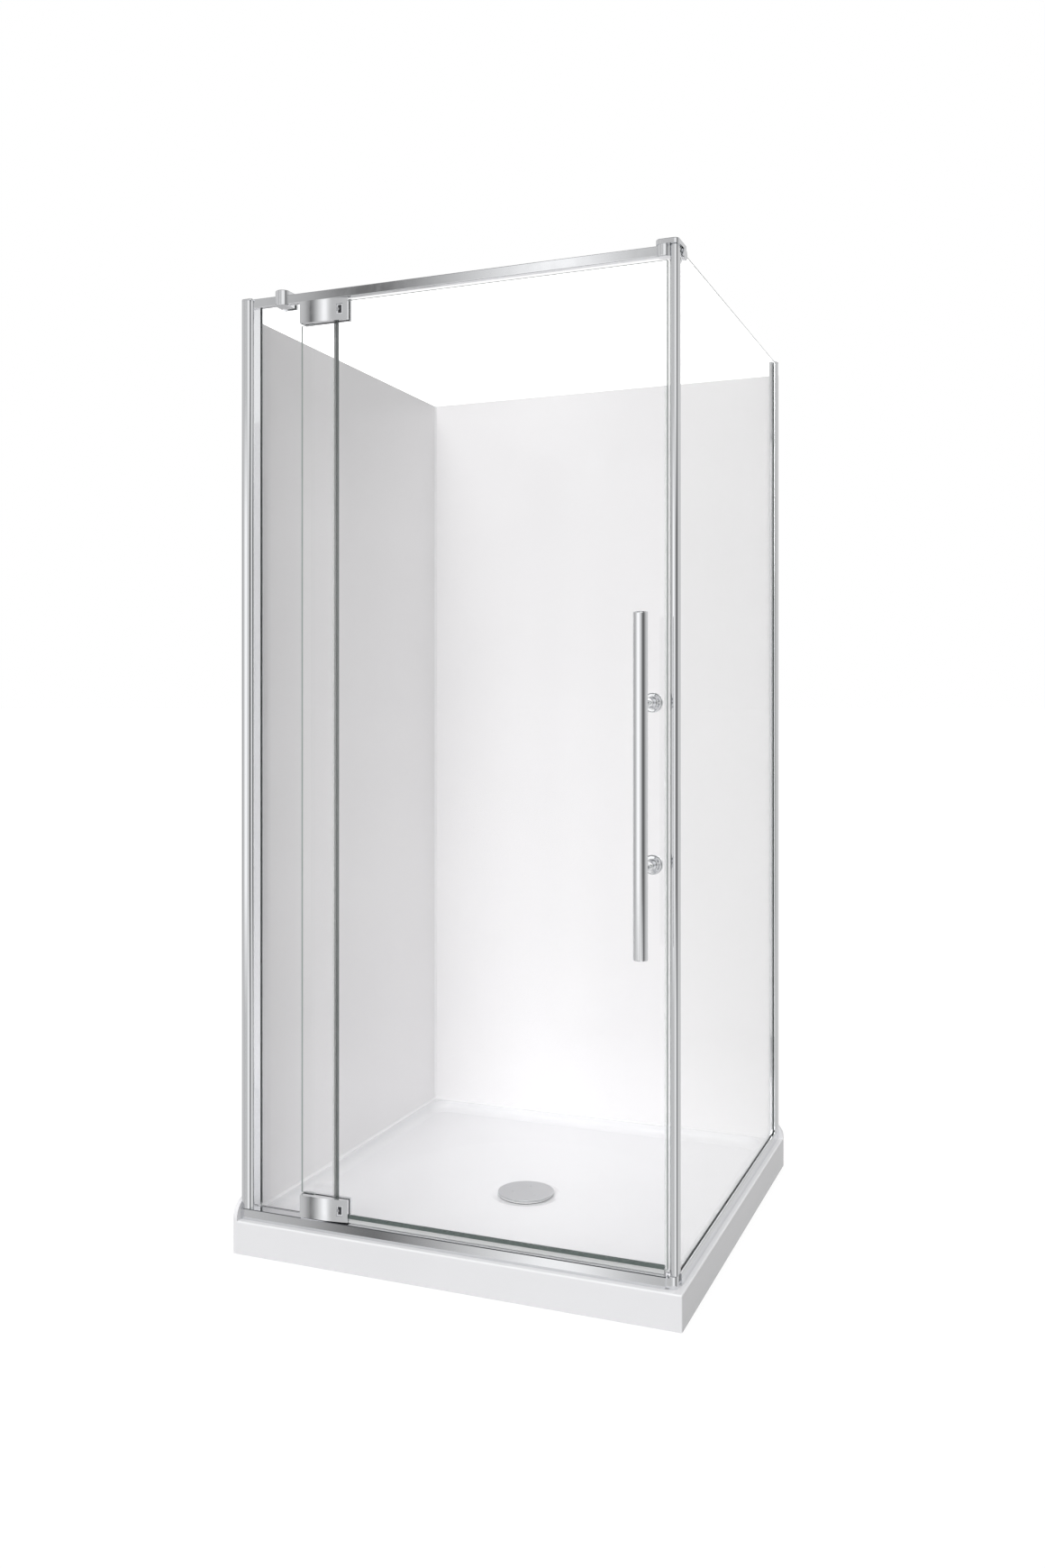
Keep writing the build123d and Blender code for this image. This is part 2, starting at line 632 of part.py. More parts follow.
# Edge profile on the return glass and its magnet
with BuildPart() as edge_profile:
    with BuildSketch(Plane.XY.offset(post_top)):
        add(bowed(edge_x0, edge_x1, edge_y0, edge_y1, edge_bow))
    extrude(amount=profile_top - post_top)
    box(return_x - half_glass, return_x + half_glass, glass_front_y - glass_play, edge_y1,
        post_top, profile_top, mode=Mode.SUBTRACT)
    box(edge_x0, edge_x0 + magnet_depth, door_y - magnet_half, door_y + magnet_half, post_top, profile_top,
        mode=Mode.SUBTRACT)
keep(edge_profile, "return_edge_profile")

with BuildPart() as return_magnet:
    box(edge_x0, edge_x0 + magnet_depth, door_y - magnet_half, door_y + magnet_half, post_top, profile_top)
keep(return_magnet, "return_magnet_strip")

with BuildPart() as edge_cap:
    with BuildSketch(Plane.XY.offset(profile_top)):
        add(bowed(edge_x0, edge_x1, edge_y0, glass_front_y - glass_play, edge_bow))
    extrude(amount=glass_top - profile_top)
    fillet(edge_cap.edges().group_by(Axis.Z)[-1], soft_edge)
keep(edge_cap, "return_profile_cap")

# Header bar with the seat of the upper pivot, and the socket at the wall end
with BuildPart() as header_bar:
    box(adjuster_x, bar_end, bar_front, bar_back, bar_bottom, bar_top)
    fillet(header_bar.edges().filter_by(Axis.X), bar_round)
    rod(*pivot, bar_bottom, bar_bottom + bush_length, bush_r, mode=Mode.SUBTRACT)
keep(header_bar, "header_bar")

with BuildPart() as wall_socket:
    socket_y0 = adjuster_y0 + profile_wall + glass_play
    box(adjuster_x0, adjuster_x - profile_wall, socket_y0, chamber_y1 - glass_play,
        bar_bottom - socket_drop, profile_top)
keep(wall_socket, "header_wall_socket")

# Saddle clamp: a round nose in front of the bar, and a slot over the infill glass
clamp_y0 = bar_front - clamp_overhang
clamp_y1 = infill_y + half_glass + clamp_rear
clamp_left = clamp_x - clamp_width / 2
clamp_right = clamp_left + clamp_width
clamp_z0 = bar_bottom - clamp_lip
pad_half = half_glass + pad_thick
with BuildPart() as infill_clamp:
    with BuildSketch(Plane.XY.offset(clamp_z0)):
        add(bowed(clamp_left, clamp_right, clamp_y0, clamp_y1, clamp_width / 2))
    extrude(amount=clamp_top - clamp_z0)
    fillet(infill_clamp.edges().group_by(Axis.Z)[-1], clamp_round)
    fillet(infill_clamp.edges().group_by(Axis.Z)[0], clamp_round / 2)
    box(clamp_left, clamp_right, bar_front - glass_play, bar_back + glass_play,
        bar_bottom - glass_play, bar_top + glass_play, mode=Mode.SUBTRACT)
    box(clamp_left, clamp_right, infill_y - pad_half, infill_y + pad_half,
        clamp_z0, glass_top + glass_play, mode=Mode.SUBTRACT)
    cross_rod(clamp_x, (clamp_z0 + glass_top) / 2, infill_y + pad_half, clamp_y1, grub_r,
              mode=Mode.SUBTRACT)
keep(infill_clamp, "infill_clamp")

with BuildPart() as infill_clamp_pads:
    for pad_y in (infill_y - pad_half, infill_y + half_glass):
        box(clamp_left + pad_inset, clamp_right - pad_inset, pad_y, pad_y + pad_thick,
            clamp_z0 + pad_inset, glass_top - pad_inset)
keep(infill_clamp_pads, "infill_clamp_pads")

grub_z = (clamp_z0 + glass_top) / 2
with BuildPart() as infill_clamp_screw:
    cross_rod(clamp_x, grub_z, infill_y + pad_half, clamp_y1 - grub_inset, grub_r)
    with BuildSketch(Plane.XZ.offset(grub_inset - clamp_y1)) as key_hole:
        with Locations((clamp_x, grub_z)):
            RegularPolygon(grub_key_r, 6)
    extrude(key_hole.sketch, amount=grub_key_deep, mode=Mode.SUBTRACT)
keep(infill_clamp_screw, "infill_clamp_screw")

# Corner clamp: boss on the bar's end, plate over the return glass, drop-shaped outer lobe
corner_x0 = bar_end - corner_bite
corner_x1 = return_x + corner_out
corner_y1 = door_y + corner_rear
boss_x = corner_x0 + corner_boss_inset + corner_boss_r
boss_y = clamp_y0 + corner_boss_inset + corner_boss_r
lobe_cy = door_y + lobe_back
lobe_cz = clamp_top - lobe_drop
plate_z = bar_top + glass_play
with BuildPart() as corner_clamp:
    with BuildSketch(Plane.XY.offset(plate_z)) as plate:
        with Locations(((corner_x0 + corner_x1) / 2, (clamp_y0 + corner_y1) / 2)):
            RectangleRounded(corner_x1 - corner_x0, corner_y1 - clamp_y0, corner_round)
    extrude(plate.sketch, amount=clamp_top - plate_z)
    fillet(corner_clamp.edges().group_by(Axis.Z)[-1], clamp_round)
    rod(boss_x, boss_y, clamp_z0, plate_z, corner_boss_r)
    fillet(corner_clamp.edges().filter_by(GeomType.CIRCLE).group_by(Axis.Z)[0], clamp_round)
    box(boss_x, edge_x0 - face_gap, bar_front - clamp_lip, bar_back + clamp_lip, clamp_z0, plate_z)
    box(return_x - corner_in, return_x - pad_half, edge_y1 + face_gap, corner_y1 - clamp_lip,
        bar_bottom, plate_z)
    with BuildSketch(Plane.YZ.offset(return_x + pad_half)) as lobe:
        with BuildLine():
            Line((lobe_cy - lobe_neck, plate_z), (lobe_cy - lobe_r, lobe_cz))
            ThreePointArc((lobe_cy - lobe_r, lobe_cz), (lobe_cy, lobe_cz - lobe_r),
                          (lobe_cy + lobe_r, lobe_cz))
            Line((lobe_cy + lobe_r, lobe_cz), (lobe_cy + lobe_neck, plate_z))
            Line((lobe_cy + lobe_neck, plate_z), (lobe_cy - lobe_neck, plate_z))
        make_face()
    extrude(lobe.sketch, amount=corner_x1 - return_x - pad_half)
    box(corner_x0, bar_end + glass_play, bar_front - glass_play, bar_back + glass_play,
        bar_bottom - glass_play, plate_z, mode=Mode.SUBTRACT)
    side_rod(lobe_cy, corner_grub_z, return_x - corner_in, return_x - pad_half, grub_r, mode=Mode.SUBTRACT)
keep(corner_clamp, "corner_clamp")

with BuildPart() as corner_clamp_pads:
    for pad_x in (return_x - pad_half, return_x + half_glass):
        box(pad_x, pad_x + pad_thick, lobe_cy - lobe_neck, lobe_cy + lobe_neck,
            bar_bottom + pad_inset, glass_top - pad_inset)
keep(corner_clamp_pads, "corner_clamp_pads")

with BuildPart() as corner_clamp_screw:
    side_rod(lobe_cy, corner_grub_z, return_x - corner_in + grub_inset, return_x - pad_half, grub_r)
keep(corner_clamp_screw, "corner_clamp_screw")

# Door glass, notched at the two pivot corners and drilled for hinges and handle
hinge_x0 = pivot[0] - hinge_overhang
hinge_x1 = hinge_x0 + hinge_width
hinge_y0 = door_y - hinge_front
hinge_end_y = hinge_y0 + hinge_bow
hinge_y1 = door_y + hinge_back
tail_x1 = hinge_x0 + hinge_tail
top_block = (bar_bottom - hinge_air - hinge_height, bar_bottom - hinge_air)
bottom_block = (sill_top + hinge_air, sill_top + hinge_air + hinge_height)
screw_x = [tail_x1 + hinge_screw_inset, tail_x1 + hinge_screw_inset + hinge_screw_spacing]
door_y0 = door_y - half_glass
door_y1 = door_y + half_glass
handle_cx = door_x1 - handle_inset
post_z = [handle_mid_z - post_spacing / 2, handle_mid_z + post_spacing / 2]
with BuildPart() as door_glass:
    box(door_x0, door_x1, door_y0, door_y1, door_foot, door_top)
    chamfer(door_glass.edges().filter_by(Axis.Z), arris)
    box(door_x0, tail_x1 + notch_clearance, door_y0, door_y1, top_block[0] - notch_clearance, door_top,
        mode=Mode.SUBTRACT)
    box(door_x0, tail_x1 + notch_clearance, door_y0, door_y1, door_foot, bottom_block[1] + notch_clearance,
        mode=Mode.SUBTRACT)
    for low, high in (top_block, bottom_block):
        for x in screw_x:
            cross_rod(x, (low + high) / 2, door_y0, door_y1, hinge_hole_r, mode=Mode.SUBTRACT)
    for z in post_z:
        cross_rod(handle_cx, z, door_y0, door_y1, handle_hole_r, mode=Mode.SUBTRACT)
keep(door_glass, "door_glass")


def hinge(side, low, high, pin_up):
    """One hinge: bowed block round the glass corner, back plate, pin and adjuster."""
    middle = (low + high) / 2
    window_x1 = hinge_x1 - window_inset
    window_x0 = window_x1 - window_size[0]
    window_z0 = middle - window_size[1] / 2
    window_z1 = middle + window_size[1] / 2
    insert_y0 = hinge_y0 + insert_sunk
    insert_y1 = insert_y0 + insert_thick
    with BuildPart() as block:
        with BuildSketch(Plane.XY.offset(low)):
            add(bowed(hinge_x0, hinge_x1, hinge_y0, hinge_y1, hinge_bow))
        extrude(amount=high - low)
        box(tail_x1, hinge_x1, door_y0 - hinge_pad, hinge_y1, low, high, mode=Mode.SUBTRACT)
        fillet(block.edges().filter_by(GeomType.CIRCLE), soft_edge)
        box(window_x0, window_x1, hinge_y0, insert_y1, window_z0, window_z1, mode=Mode.SUBTRACT)
        rod(*pivot, middle if pin_up else low, high if pin_up else middle, shank_r, mode=Mode.SUBTRACT)
        for x in screw_x:
            cross_rod(x, middle, hinge_end_y, door_y0, hinge_screw_r, mode=Mode.SUBTRACT)
    keep(block, f"{side}_hinge_block")

    with BuildPart() as plate:
        box(tail_x1 + hinge_seam, hinge_x1, door_y1 + hinge_pad, hinge_y1, low, high)
        free_edges = plate.edges().filter_by(Axis.Z).group_by(Axis.X)[-1]
        fillet(free_edges.sort_by(Axis.Y)[-1], hinge_corner)
        for x in screw_x:
            cross_rod(x, middle, door_y1 + hinge_pad, hinge_y1, hinge_screw_r + screw_play,
                      mode=Mode.SUBTRACT)
            cross_rod(x, middle, hinge_y1 - head_height - head_sunk, hinge_y1, head_r + screw_play,
                      mode=Mode.SUBTRACT)
    keep(plate, f"{side}_hinge_back_plate")

    with BuildPart() as pin:
        reach = journal_length + hinge_air
        if pin_up:
            rod(*pivot, middle, high, shank_r)
            rod(*pivot, high, high + reach, journal_r)
        else:
            rod(*pivot, low, middle, shank_r)
            rod(*pivot, low - reach, low, journal_r)
    keep(pin, f"{side}_pivot_pin")

    with BuildPart() as insert:
        box(window_x0 + insert_play, window_x1 - insert_play, insert_y0, insert_y1,
            window_z0 + insert_play, window_z1 - insert_play)
        slit_x = (window_x0 + window_x1) / 2
        box(slit_x - slit_width / 2, slit_x + slit_width / 2, insert_y0, insert_y0 + slit_deep,
            window_z0 + slit_inset, window_z1 - slit_inset, mode=Mode.SUBTRACT)
    keep(insert, f"{side}_hinge_adjuster")


hinge("top", *top_block, pin_up=True)
hinge("bottom", *bottom_block, pin_up=False)

with BuildPart() as hinge_pads:
    for low, high in (top_block, bottom_block):
        pad_low = max(low, door_foot)
        pad_high = min(high, door_top)
        for y_low, y_high in ((door_y0 - hinge_pad, door_y0), (door_y1, door_y1 + hinge_pad)):
            box(tail_x1 + notch_clearance, hinge_x1 - pad_inset, y_low, y_high, pad_low, pad_high)
            for x in screw_x:
                cross_rod(x, (low + high) / 2, y_low, y_high, hinge_hole_r, mode=Mode.SUBTRACT)
keep(hinge_pads, "hinge_pads")

head_y1 = hinge_y1 - head_sunk
head_y0 = head_y1 - head_height
with BuildPart() as hinge_screws:
    for low, high in (top_block, bottom_block):
        for x in screw_x:
            z = (low + high) / 2
            cross_rod(x, z, hinge_end_y + screw_bite, head_y0, hinge_screw_r)
            cross_rod(x, z, head_y0, head_y1, head_r)
            with BuildSketch(Plane.XZ.offset(-head_y1)) as drive:
                with Locations((x, z)):
                    RegularPolygon(drive_r, 6)
            extrude(drive.sketch, amount=drive_deep, mode=Mode.SUBTRACT)
keep(hinge_screws, "hinge_screws")

# Bushes and thrust washers
with BuildPart() as top_bush:
    rod(*pivot, bar_bottom, bar_bottom + bush_length, bush_r)
    rod(*pivot, bar_bottom, bar_bottom + bush_length, journal_r + pin_clearance, mode=Mode.SUBTRACT)
keep(top_bush, "top_pivot_bush")

with BuildPart() as bottom_bush:
    rod(*pivot, ledge_z + sill_wall, sill_top, bush_r)
    rod(*pivot, ledge_z + sill_wall + bush_floor, sill_top, journal_r + pin_clearance, mode=Mode.SUBTRACT)
keep(bottom_bush, "bottom_pivot_bush")

for side, low, high in (("top", top_block[1], bar_bottom), ("bottom", sill_top, bottom_block[0])):
    with BuildPart() as thrust_washer:
        rod(*pivot, low + face_gap, high - face_gap, washer_r)
        rod(*pivot, low + face_gap, high - face_gap, journal_r + pin_clearance, mode=Mode.SUBTRACT)
    keep(thrust_washer, f"{side}_thrust_washer")

# Handle
tube_y = door_y0 - handle_reach
tube_z0 = handle_mid_z - handle_length / 2
tube_z1 = handle_mid_z + handle_length / 2
rose_y0 = door_y0 - handle_washer - rose_thick
with BuildPart() as handle_tube:
    rod(handle_cx, tube_y, tube_z0 + handle_cap, tube_z1 - handle_cap, handle_r)
    rod(handle_cx, tube_y, tube_z0, tube_z1, handle_r - handle_wall, mode=Mode.SUBTRACT)
keep(handle_tube, "handle_tube")

with BuildPart() as handle_end_caps:
    rod(handle_cx, tube_y, tube_z0, tube_z0 + handle_cap, handle_r)
    rod(handle_cx, tube_y, tube_z1 - handle_cap, tube_z1, handle_r)
    fillet(handle_end_caps.edges().filter_by(GeomType.CIRCLE).group_by(Axis.Z)[0], soft_edge)
    fillet(handle_end_caps.edges().filter_by(GeomType.CIRCLE).group_by(Axis.Z)[-1], soft_edge)
    rod(handle_cx, tube_y, tube_z0 + handle_cap, tube_z0 + handle_cap + cap_plug, handle_r - handle_wall)
    rod(handle_cx, tube_y, tube_z1 - handle_cap - cap_plug, tube_z1 - handle_cap, handle_r - handle_wall)
keep(handle_end_caps, "handle_end_caps")

with BuildPart() as handle_posts:
    for z in post_z:
        cross_rod(handle_cx, z, rose_y0, door_y0 - handle_washer, rose_r)
    fillet(handle_posts.edges().filter_by(GeomType.CIRCLE).group_by(Axis.Y)[0], rose_edge)
    for z in post_z:
        cross_rod(handle_cx, z, tube_y, rose_y0, stem_r)
        rod(handle_cx, tube_y, z - rose_r, z + rose_r, handle_r, mode=Mode.SUBTRACT)
        cross_rod(handle_cx, z, door_y0 - handle_washer, door_y1 + handle_washer, spigot_r)
keep(handle_posts, "handle_posts")

with BuildPart() as handle_washers:
    for z in post_z:
        for low, high in ((door_y0 - handle_washer, door_y0), (door_y1, door_y1 + handle_washer)):
            cross_rod(handle_cx, z, low, high, handle_washer_r)
            cross_rod(handle_cx, z, low, high, spigot_r + screw_play, mode=Mode.SUBTRACT)
keep(handle_washers, "handle_washers")

with BuildPart() as inner_buttons:
    for z in post_z:
        cross_rod(handle_cx, z, door_y1 + handle_washer, door_y1 + handle_washer + button_thick, button_r)
    fillet(inner_buttons.edges().filter_by(GeomType.CIRCLE).group_by(Axis.Y)[-1], button_round)
keep(inner_buttons, "handle_inner_buttons")

# Door seals
seal_x0 = door_x1 - edge_lap
seal_x1 = door_x1 + edge_reach
seal_half = half_glass + seal_wall
with BuildPart() as edge_seal:
    box(seal_x0, seal_x1, door_y - seal_half, door_y + seal_half, door_foot, door_top)
    box(seal_x0, door_x1, door_y - half_glass, door_y + half_glass, door_foot, door_top, mode=Mode.SUBTRACT)
    box(seal_x1 - magnet_depth, seal_x1, door_y - magnet_half, door_y + magnet_half, door_foot, door_top,
        mode=Mode.SUBTRACT)
keep(edge_seal, "door_edge_seal")

with BuildPart() as door_magnet:
    box(seal_x1 - magnet_depth, seal_x1, door_y - magnet_half, door_y + magnet_half, door_foot, door_top)
keep(door_magnet, "door_magnet_strip")

with BuildPart() as bottom_seal:
    seal_low = sill_top + bottom_seal_air
    web_low = door_foot - seal_web
    seal_start = hinge_x1 + pad_inset
    box(seal_start, seal_x0, door_y - seal_half, door_y + seal_half, web_low, door_foot + seal_lap)
    box(seal_start, seal_x0, door_y - half_glass, door_y + half_glass, door_foot, door_foot + seal_lap,
        mode=Mode.SUBTRACT)
    box(seal_start, seal_x0, door_y - seal_half, door_y - seal_half + fin_thick, seal_low, web_low)
    box(seal_start, seal_x0, door_y + seal_half - fin_thick, door_y + seal_half, seal_low, web_low)
keep(bottom_seal, "door_bottom_seal")

# Screws that join the two front profiles
with BuildPart() as profile_screws:
    for z in joint_heights:
        cross_rod(joint_x, z, adjuster_y1 - joint_depth, profile_y1, joint_screw_r)
        cross_rod(joint_x, z, profile_y1, profile_y1 + joint_head, joint_head_r)
keep(profile_screws, "profile_screws")
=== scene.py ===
"""Looks of the pivot door shower enclosure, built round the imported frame. Metres, Z up."""
import math

import bmesh
import bpy
from mathutils import Matrix, Vector


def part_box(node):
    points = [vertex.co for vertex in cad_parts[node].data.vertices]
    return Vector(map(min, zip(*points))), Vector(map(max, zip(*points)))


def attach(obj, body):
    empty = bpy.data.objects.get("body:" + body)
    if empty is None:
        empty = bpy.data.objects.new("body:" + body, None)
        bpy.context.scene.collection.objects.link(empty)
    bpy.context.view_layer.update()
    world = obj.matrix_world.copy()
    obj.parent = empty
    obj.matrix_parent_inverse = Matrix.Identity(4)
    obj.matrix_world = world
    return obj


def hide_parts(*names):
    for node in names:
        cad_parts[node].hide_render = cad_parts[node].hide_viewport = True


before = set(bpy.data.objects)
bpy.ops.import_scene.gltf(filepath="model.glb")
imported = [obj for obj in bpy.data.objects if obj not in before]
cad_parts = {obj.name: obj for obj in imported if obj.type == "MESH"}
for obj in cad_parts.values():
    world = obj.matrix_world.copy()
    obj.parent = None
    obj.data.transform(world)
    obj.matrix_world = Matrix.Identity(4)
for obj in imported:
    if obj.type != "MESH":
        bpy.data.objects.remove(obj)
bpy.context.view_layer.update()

MM = 0.001

# Camera of the photograph
PHOTO_WIDTH = 1160
PHOTO_HEIGHT = 1740
FOCAL_PIXELS = 1490.24
HORIZON_ROW = 783.67
CAMERA_PLACE = (1.0479, -2.6371, 1.0669)
CAMERA_HEADING = 21.846  # degrees to the left of +Y
SENSOR = 36.0

# Each lamp: strength, the way it shines from, and its spread in degrees
LAMPS = {"front_panel": (1.7, (0.10, -0.9, 0.42), 40.0),
         "overhead_panel": (0.95, (0.1, -0.12, 1.0), 50.0),
         "rear_panel": (1.0, (-0.45, 0.8, 0.3), 60.0)}
AMBIENT = 0.41

# What mirrors see round about: degrees from the front, to the right, and the grey there. The level panels
# show to faces that stand upright, the steep ones to faces that lean, and a plain grey lies overhead.
LEVEL_PANELS = [(-180, 0.5), (-100, 0.4), (-60, 0.62), (-24, 1.2), (-12, 1.2), (20, 0.72), (52, 0.15),
                (70, 0.13), (95, 0.45), (140, 0.75), (180, 0.6)]
STEEP_PANELS = [(-180, 0.6), (-60, 0.66), (-34, 0.62), (-31, 0.5), (-29, 0.15), (-28, 0.15), (-25, 0.57),
                (-22.6, 0.88), (-20.3, 1.25), (-18, 0.8), (-16.5, 0.56), (-5, 0.6), (20, 1.0), (50, 0.9),
                (64, 0.15), (95, 0.5), (145, 0.75), (180, 0.6)]
STEEP_FROM = (0.13, 0.22)     # tilt, as the sine, over which the level panels give way to the steep ones
OVERHEAD_FROM = (0.6, 0.8)    # and these to the overhead grey
OVERHEAD = "#5A5B5E"

FLOOR_HALF = 400.0     # metres, so that its rim lies beyond the view
FLOOR_SHADOW = 0.22    # share of its paint that the eye sees, which carries the shadow
FLOOR_GLOW = 0.06
VIEW_DEPTH = (0.05, 1000.0)

# The pieces, in mm: the same places as the solids that they stand for
CRISP = 32.0              # degrees: a sharper fold than this stays an edge
WELD = 0.001              # points nearer than this become one
LATHE_STEPS = 72
HANDLE_AXIS = (393.0, -471.5)
HANDLE_ENDS = (640.0, 1226.0)
HANDLE_R = 12.5
HANDLE_CAP = 2.5
HANDLE_ROUND = 1.6
HANDLE_SEAM = ((0.35, 0.0), (0.35, 0.4), (0.0, 0.5))    # its depth, and how far it lies past the cap
POST_HEIGHTS = (793.0, 1073.0)
ROSE_BACK = -393.0
ROSE_R = 17.5
ROSE_THICK = 10.0
ROSE_ROUND = 3.0
STEM_R = 9.0
STEM_FOOT = ((2.0, 0.0), (0.6, 0.6), (0.0, 2.0))        # past the stem's side, and above the rose
STEM_BITE = 3.0           # how far a post runs into the tube
SQUARE_ON = 0.9           # a face's normal along an axis is more than this where it faces that way
DEEP_EDGE = 0.6           # and this is enough for a pane's dark edge along a deep way
SEAL_BODY_FOOT = 93.5     # the dark body of the door's foot seal starts at this height
SEAL_BODY_FRONT = -368.0  # and that of the infill's edge seal at this depth
WINDOW = (12.0, 20.0)
WINDOW_INSET = 10.0
HINGE_TAIL = 22.0
HINGE_PLATE_BACK = -392.5
FACE_TURN = (-2.0, 13.0)  # degrees that the block's face turns: at its left end, and over its width
FACE_SET_BACK = 0.4
FACE_COLUMNS = 20         # steps over that width
COLUMN_GAP = 2.5          # a step that comes nearer than this to another edge is left out
WINDOW_RIM = (0.4, 0.4)   # the window's insets, from outside in: width and depth
WINDOW_WALL = (0.05, 1.6)
INSERT_FACE = (3.2, 0.0)
SLOT_WALL = (0.05, 2.5)
SILL_CHAMFER = 1.2
SILL_EDGE = 0.6
SILL_GROOVE = ((5.0, 0.0), (4.4, 0.8), (2.6, 0.8), (2.0, 0.0))  # from the back edge, and below the top


def linear(code):
    """The linear colour of an sRGB hex value."""
    parts = [int(code[i:i + 2], 16) / 255 for i in (1, 3, 5)]
    return [p / 12.92 if p <= 0.04045 else ((p + 0.055) / 1.055) ** 2.4 for p in parts] + [1.0]


def add(tree, kind, inputs=None, **settings):
    """Adds a node with its settings; an input takes a value or the socket that feeds it."""
    made = tree.nodes.new(kind)
    for name, value in settings.items():
        setattr(made, name, value)
    for name, value in (inputs or {}).items():
        if isinstance(value, bpy.types.NodeSocket):
            tree.links.new(value, made.inputs[name])
        else:
            made.inputs[name].default_value = value
    return made


def finish(name, colour, roughness, **sockets):
    """A material with its Principled shader, which further nodes are linked to."""
    material = bpy.data.materials.new(name)
    material.use_nodes = True
    shader = material.node_tree.nodes["Principled BSDF"]
    shader.inputs["Base Color"].default_value = linear(colour)
    shader.inputs["Roughness"].default_value = roughness
    for socket, value in sockets.items():
        shader.inputs[socket.replace("_", " ")].default_value = value
    return material, material.node_tree, shader


def per_metre(size_mm):
    """Noise scale that gives features of this size."""
    return 1.0 / (size_mm * MM)


def moulded(name, colour, roughness, grain_mm, depth_mm, tone=0.03, **sockets):
    """A moulded or formed surface: fine relief, and roughness and tone that drift over it."""
    material, tree, shader = finish(name, colour, roughness, **sockets)
    place = add(tree, "ShaderNodeTexCoord").outputs["Object"]
    grain = add(tree, "ShaderNodeTexNoise", {"Vector": place, "Scale": per_metre(grain_mm), "Detail": 3.0})
    drift = add(tree, "ShaderNodeTexNoise", {"Vector": place, "Scale": per_metre(260.0), "Detail": 2.0})
    relief = add(tree, "ShaderNodeBump", {"Height": grain.outputs["Fac"], "Distance": depth_mm * MM,
                                          "Strength": 1.0})
    dull = add(tree, "ShaderNodeMapRange", {"Value": drift.outputs["Fac"], "To Min": roughness * 0.8,
                                            "To Max": roughness * 1.25})
    pale = linear(colour)
    darker = [c * (1 - tone) for c in pale[:3]] + [1.0]
    tint = add(tree, "ShaderNodeMix", {0: drift.outputs["Fac"], 6: darker, 7: pale}, data_type="RGBA")
    tree.links.new(relief.outputs["Normal"], shader.inputs["Normal"])
    tree.links.new(dull.outputs["Result"], shader.inputs["Roughness"])
    tree.links.new(tint.outputs[2], shader.inputs["Base Color"])
    return material


def drawn_metal(name, colour, roughness, along, line_mm=1.6, depth_mm=0.001):
    """Extruded or drawn metal: faint lines that run along one axis, and a drift in gloss."""
    material, tree, shader = finish(name, colour, roughness, Metallic=1.0)
    place = add(tree, "ShaderNodeTexCoord").outputs["Object"]
    stretch = [1.0, 1.0, 1.0]
    stretch["XYZ".index(along)] = 0.004
    lengthwise = add(tree, "ShaderNodeMapping", {"Vector": place, "Scale": stretch})
    lines = add(tree, "ShaderNodeTexNoise", {"Vector": lengthwise.outputs["Vector"],
                                             "Scale": per_metre(line_mm), "Detail": 2.0})
    relief = add(tree, "ShaderNodeBump", {"Height": lines.outputs["Fac"], "Distance": depth_mm * MM,
                                          "Strength": 1.0})
    drift = add(tree, "ShaderNodeTexNoise", {"Vector": place, "Scale": per_metre(90.0), "Detail": 2.0})
    gloss = add(tree, "ShaderNodeMapRange", {"Value": drift.outputs["Fac"], "To Min": roughness * 0.75,
                                             "To Max": roughness * 1.3})
    tree.links.new(relief.outputs["Normal"], shader.inputs["Normal"])
    tree.links.new(gloss.outputs["Result"], shader.inputs["Roughness"])
    return material


def chrome_plate():
    """Bright chromium plate on brass: a near mirror, with the faintest polishing haze."""
    material, tree, shader = finish("polished_chrome_plate", "#E9EAEC", 0.07, Metallic=1.0)
    place = add(tree, "ShaderNodeTexCoord").outputs["Object"]
    haze = add(tree, "ShaderNodeTexNoise", {"Vector": place, "Scale": per_metre(22.0), "Detail": 4.0})
    gloss = add(tree, "ShaderNodeMapRange", {"Value": haze.outputs["Fac"], "From Min": 0.35, "From Max": 0.7,
                                             "To Min": 0.05, "To Max": 0.11})
    tree.links.new(gloss.outputs["Result"], shader.inputs["Roughness"])
    return material


def spun_satin():
    """Satin stainless cover turned on a lathe: fine rings round the middle, a soft dull sheen."""
    material, tree, shader = finish("satin_stainless_cover", "#C3C4C6", 0.42, Metallic=0.85)
    place = add(tree, "ShaderNodeTexCoord").outputs["Object"]
    rings = add(tree, "ShaderNodeTexWave", {"Vector": place, "Scale": per_metre(1.4) / 6.28,
                                            "Distortion": 0.4, "Detail": 2.0},
                wave_type="RINGS", rings_direction="Z")
    relief = add(tree, "ShaderNodeBump", {"Height": rings.outputs["Fac"], "Distance": 0.01 * MM,
                                          "Strength": 0.6})
    tree.links.new(relief.outputs["Normal"], shader.inputs["Normal"])
    return material


